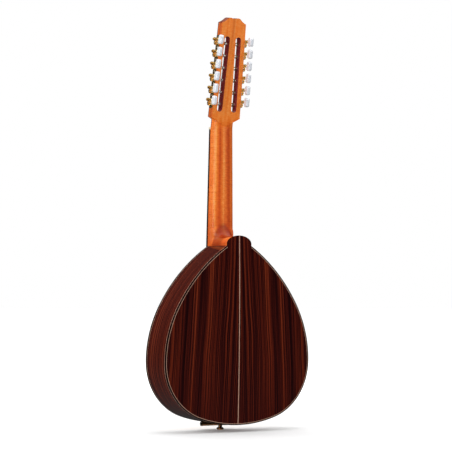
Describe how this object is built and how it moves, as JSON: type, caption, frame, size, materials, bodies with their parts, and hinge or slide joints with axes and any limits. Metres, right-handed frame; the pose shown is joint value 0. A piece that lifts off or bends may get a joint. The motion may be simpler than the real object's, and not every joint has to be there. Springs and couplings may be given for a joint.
{
  "type": "spanish laud",
  "caption": "Plucked string instrument with a teardrop body, flat back, short fretted neck, slotted head with worm tuners, tailpiece and paired strings.",
  "frame": {"origin": "where the centre line crosses the lower edge of the soundboard face", "axes": "+Z along the neck to the head, -Y the playing side, +X the treble side"},
  "size_m": [0.341, 0.0975, 0.8517],
  "materials": {
    "rosewood": "high gloss lacquer over dark streaked rosewood",
    "rosewood_binding": "high gloss dark binding",
    "maple_line": "gloss, pale inlaid line",
    "cedar_top": "gloss, straight fine grain",
    "marquetry": "gloss, small tiles",
    "inner_cedar": "raw wood",
    "neck_cedar": "gloss, orange brown cedro",
    "ebony": "satin",
    "bone": "satin",
    "fret_metal": "polished nickel silver",
    "gold_plate": "polished gold plate",
    "aged_brass": "aged, dark",
    "post_metal": "nickel posts with gold gears",
    "pearl": "pearl plastic",
    "string_steel": "wound and plain steel"
  },
  "bodies": {
    "root": {"soundboard": "cedar_top", "rosette": "marquetry", "bindings": "rosewood_binding", "purfling": "maple_line", "rib_treble": "rosewood", "rib_bass": "rosewood", "linings": "inner_cedar", "tail_block": "inner_cedar", "back_treble": "rosewood", "back_bass": "rosewood", "back_strip": "maple_line", "braces": "inner_cedar", "neck": "neck_cedar", "head_veneer": "rosewood", "fingerboard": "ebony", "frets": "fret_metal", "nut": "bone", "bridge": "ebony", "saddle": "bone", "tailpiece": "aged_brass", "end_pin": "aged_brass", "tuner_plates": "gold_plate", "plate_screws": "gold_plate", "strings": "string_steel"},
    "key_treble_1": {"button_treble_1": "pearl", "worm_treble_1": "gold_plate"},
    "roller_treble_1": {"post_treble_1": "post_metal"},
    "key_treble_2": {"button_treble_2": "pearl", "worm_treble_2": "gold_plate"},
    "roller_treble_2": {"post_treble_2": "post_metal"},
    "key_treble_3": {"button_treble_3": "pearl", "worm_treble_3": "gold_plate"},
    "roller_treble_3": {"post_treble_3": "post_metal"},
    "key_treble_4": {"button_treble_4": "pearl", "worm_treble_4": "gold_plate"},
    "roller_treble_4": {"post_treble_4": "post_metal"},
    "key_treble_5": {"button_treble_5": "pearl", "worm_treble_5": "gold_plate"},
    "roller_treble_5": {"post_treble_5": "post_metal"},
    "key_treble_6": {"button_treble_6": "pearl", "worm_treble_6": "gold_plate"},
    "roller_treble_6": {"post_treble_6": "post_metal"},
    "key_bass_1": {"button_bass_1": "pearl", "worm_bass_1": "gold_plate"},
    "roller_bass_1": {"post_bass_1": "post_metal"},
    "key_bass_2": {"button_bass_2": "pearl", "worm_bass_2": "gold_plate"},
    "roller_bass_2": {"post_bass_2": "post_metal"},
    "key_bass_3": {"button_bass_3": "pearl", "worm_bass_3": "gold_plate"},
    "roller_bass_3": {"post_bass_3": "post_metal"},
    "key_bass_4": {"button_bass_4": "pearl", "worm_bass_4": "gold_plate"},
    "roller_bass_4": {"post_bass_4": "post_metal"},
    "key_bass_5": {"button_bass_5": "pearl", "worm_bass_5": "gold_plate"},
    "roller_bass_5": {"post_bass_5": "post_metal"},
    "key_bass_6": {"button_bass_6": "pearl", "worm_bass_6": "gold_plate"},
    "roller_bass_6": {"post_bass_6": "post_metal"}
  },
  "joints": [
    {"name": "turn_treble_1", "type": "hinge", "parent": "root", "child": "key_treble_1", "pos_m": [0.03907, 0.01736, 0.66632], "axis": [0, 0.9888, -0.1495], "continuous": true},
    {"name": "wind_treble_1", "type": "hinge", "parent": "root", "child": "roller_treble_1", "pos_m": [0.03275, 0.01629, 0.65924], "axis": [0.9997, 0.0039, 0.0259], "continuous": true},
    {"name": "turn_treble_2", "type": "hinge", "parent": "root", "child": "key_treble_2", "pos_m": [0.03841, 0.02109, 0.69104], "axis": [0, 0.9888, -0.1495], "continuous": true},
    {"name": "wind_treble_2", "type": "hinge", "parent": "root", "child": "roller_treble_2", "pos_m": [0.0321, 0.02002, 0.68395], "axis": [0.9997, 0.0039, 0.0259], "continuous": true},
    {"name": "turn_treble_3", "type": "hinge", "parent": "root", "child": "key_treble_3", "pos_m": [0.03776, 0.02483, 0.71576], "axis": [0, 0.9888, -0.1495], "continuous": true},
    {"name": "wind_treble_3", "type": "hinge", "parent": "root", "child": "roller_treble_3", "pos_m": [0.03144, 0.02376, 0.70867], "axis": [0.9997, 0.0039, 0.0259], "continuous": true},
    {"name": "turn_treble_4", "type": "hinge", "parent": "root", "child": "key_treble_4", "pos_m": [0.0371, 0.02857, 0.74048], "axis": [0, 0.9888, -0.1495], "continuous": true},
    {"name": "wind_treble_4", "type": "hinge", "parent": "root", "child": "roller_treble_4", "pos_m": [0.03079, 0.0275, 0.73339], "axis": [0.9997, 0.0039, 0.0259], "continuous": true},
    {"name": "turn_treble_5", "type": "hinge", "parent": "root", "child": "key_treble_5", "pos_m": [0.03645, 0.03231, 0.7652], "axis": [0, 0.9888, -0.1495], "continuous": true},
    {"name": "wind_treble_5", "type": "hinge", "parent": "root", "child": "roller_treble_5", "pos_m": [0.03013, 0.03124, 0.75811], "axis": [0.9997, 0.0039, 0.0259], "continuous": true},
    {"name": "turn_treble_6", "type": "hinge", "parent": "root", "child": "key_treble_6", "pos_m": [0.0358, 0.03605, 0.78992], "axis": [0, 0.9888, -0.1495], "continuous": true},
    {"name": "wind_treble_6", "type": "hinge", "parent": "root", "child": "roller_treble_6", "pos_m": [0.02948, 0.03498, 0.78283], "axis": [0.9997, 0.0039, 0.0259], "continuous": true},
    {"name": "turn_bass_1", "type": "hinge", "parent": "root", "child": "key_bass_1", "pos_m": [-0.03907, 0.01736, 0.66632], "axis": [0, 0.9888, -0.1495], "continuous": true},
    {"name": "wind_bass_1", "type": "hinge", "parent": "root", "child": "roller_bass_1", "pos_m": [-0.03275, 0.01629, 0.65924], "axis": [-0.9997, 0.0039, 0.0259], "continuous": true},
    {"name": "turn_bass_2", "type": "hinge", "parent": "root", "child": "key_bass_2", "pos_m": [-0.03841, 0.02109, 0.69104], "axis": [0, 0.9888, -0.1495], "continuous": true},
    {"name": "wind_bass_2", "type": "hinge", "parent": "root", "child": "roller_bass_2", "pos_m": [-0.0321, 0.02002, 0.68395], "axis": [-0.9997, 0.0039, 0.0259], "continuous": true},
    {"name": "turn_bass_3", "type": "hinge", "parent": "root", "child": "key_bass_3", "pos_m": [-0.03776, 0.02483, 0.71576], "axis": [0, 0.9888, -0.1495], "continuous": true},
    {"name": "wind_bass_3", "type": "hinge", "parent": "root", "child": "roller_bass_3", "pos_m": [-0.03144, 0.02376, 0.70867], "axis": [-0.9997, 0.0039, 0.0259], "continuous": true},
    {"name": "turn_bass_4", "type": "hinge", "parent": "root", "child": "key_bass_4", "pos_m": [-0.0371, 0.02857, 0.74048], "axis": [0, 0.9888, -0.1495], "continuous": true},
    {"name": "wind_bass_4", "type": "hinge", "parent": "root", "child": "roller_bass_4", "pos_m": [-0.03079, 0.0275, 0.73339], "axis": [-0.9997, 0.0039, 0.0259], "continuous": true},
    {"name": "turn_bass_5", "type": "hinge", "parent": "root", "child": "key_bass_5", "pos_m": [-0.03645, 0.03231, 0.7652], "axis": [0, 0.9888, -0.1495], "continuous": true},
    {"name": "wind_bass_5", "type": "hinge", "parent": "root", "child": "roller_bass_5", "pos_m": [-0.03013, 0.03124, 0.75811], "axis": [-0.9997, 0.0039, 0.0259], "continuous": true},
    {"name": "turn_bass_6", "type": "hinge", "parent": "root", "child": "key_bass_6", "pos_m": [-0.0358, 0.03605, 0.78992], "axis": [0, 0.9888, -0.1495], "continuous": true},
    {"name": "wind_bass_6", "type": "hinge", "parent": "root", "child": "roller_bass_6", "pos_m": [-0.02948, 0.03498, 0.78283], "axis": [-0.9997, 0.0039, 0.0259], "continuous": true}
  ],
  "couplings": [
    {"joint": "wind_treble_1", "follows": "turn_treble_1", "ratio": 0.071429},
    {"joint": "wind_treble_2", "follows": "turn_treble_2", "ratio": 0.071429},
    {"joint": "wind_treble_3", "follows": "turn_treble_3", "ratio": 0.071429},
    {"joint": "wind_treble_4", "follows": "turn_treble_4", "ratio": 0.071429},
    {"joint": "wind_treble_5", "follows": "turn_treble_5", "ratio": 0.071429},
    {"joint": "wind_treble_6", "follows": "turn_treble_6", "ratio": 0.071429},
    {"joint": "wind_bass_1", "follows": "turn_bass_1", "ratio": -0.071429},
    {"joint": "wind_bass_2", "follows": "turn_bass_2", "ratio": -0.071429},
    {"joint": "wind_bass_3", "follows": "turn_bass_3", "ratio": -0.071429},
    {"joint": "wind_bass_4", "follows": "turn_bass_4", "ratio": -0.071429},
    {"joint": "wind_bass_5", "follows": "turn_bass_5", "ratio": -0.071429},
    {"joint": "wind_bass_6", "follows": "turn_bass_6", "ratio": -0.071429}
  ]
}
